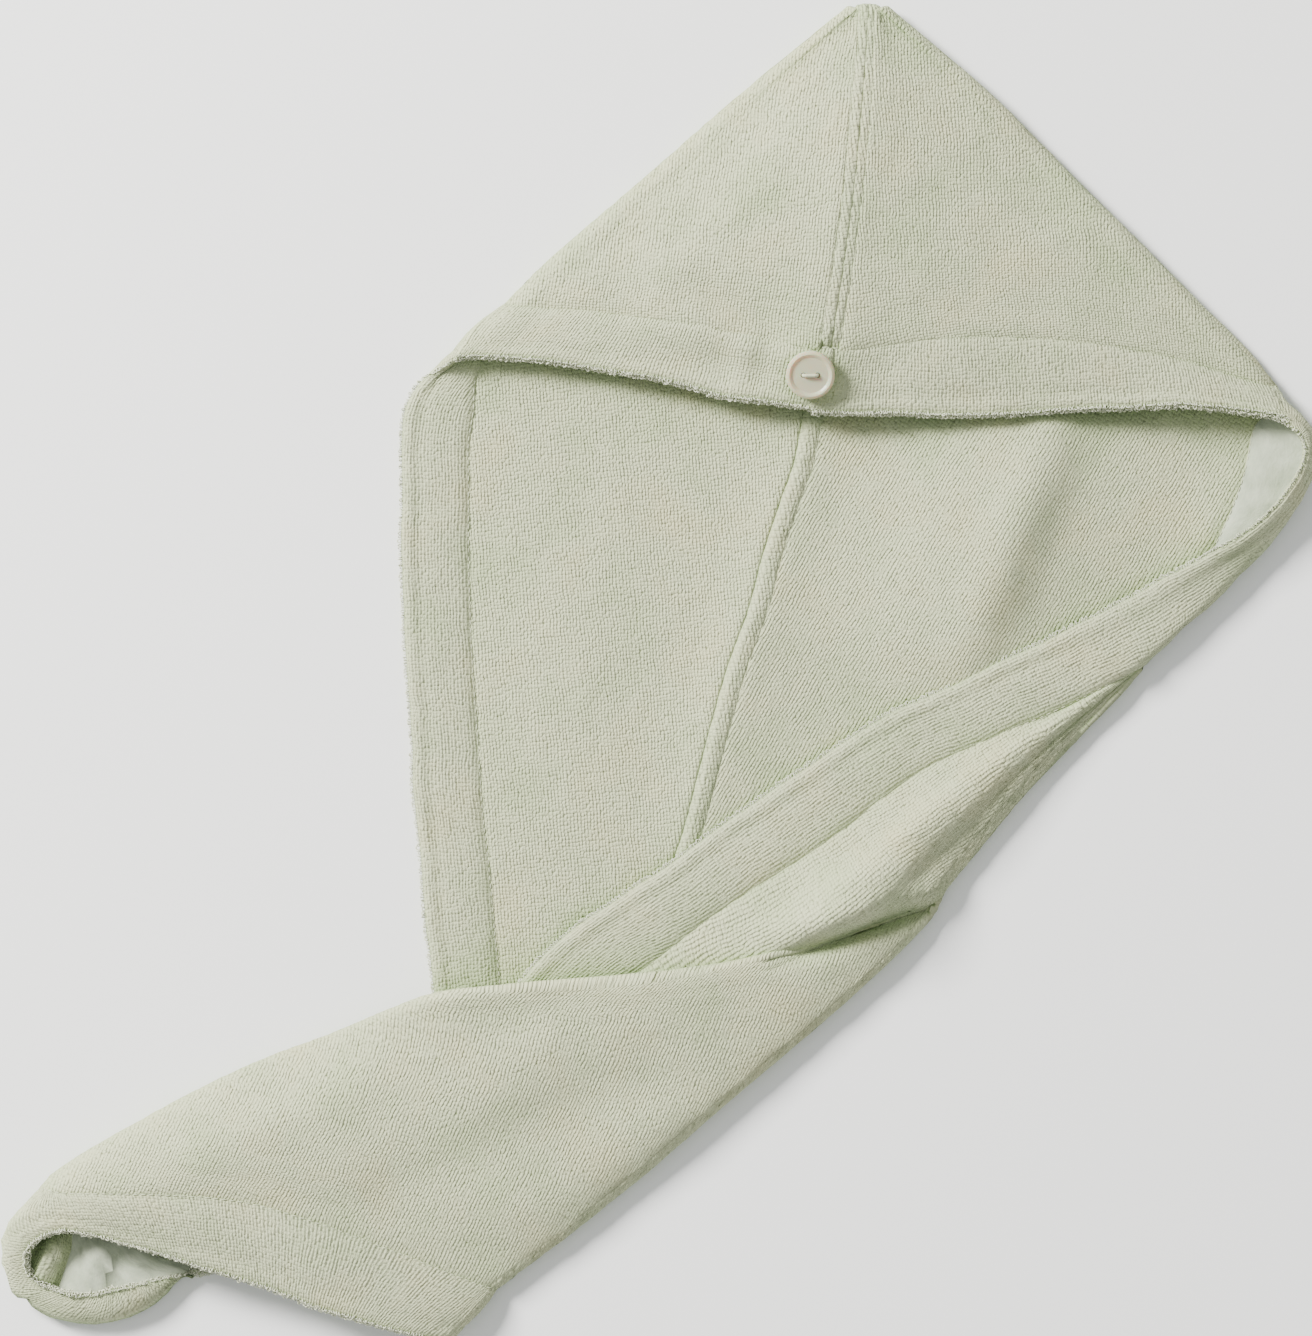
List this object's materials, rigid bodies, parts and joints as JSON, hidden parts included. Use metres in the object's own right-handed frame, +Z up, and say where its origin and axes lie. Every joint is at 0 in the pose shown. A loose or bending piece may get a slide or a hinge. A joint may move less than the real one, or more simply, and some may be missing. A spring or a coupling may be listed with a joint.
{
  "type": "hair turban towel",
  "caption": "Terry hair turban lying flat: a hood with a buttoned front flap, one side folded over, and a tapering tail rolled at its end.",
  "frame": {"origin": "on the surface that the towel lies on, below the middle of its box", "axes": "+Z up from the surface, +Y from the tail's end towards the apex of the hood, +X from the left side of the hood towards its right corner"},
  "size_m": [0.59, 0.5964, 0.0269],
  "materials": {
    "terry": "pale sage green looped terry, soft and matte",
    "terry_hem": "pale sage green looped terry, folded double and stitched",
    "button": "cream, slightly translucent, satin",
    "thread": "matt sewing thread"
  },
  "bodies": {
    "root": {"left_panel": "terry", "right_panel": "terry", "left_hem": "terry_hem", "right_hem": "terry_hem", "tail_hem": "terry_hem", "centre_seam": "terry_hem", "button": "button", "button_thread": "thread"}
  },
  "joints": []
}
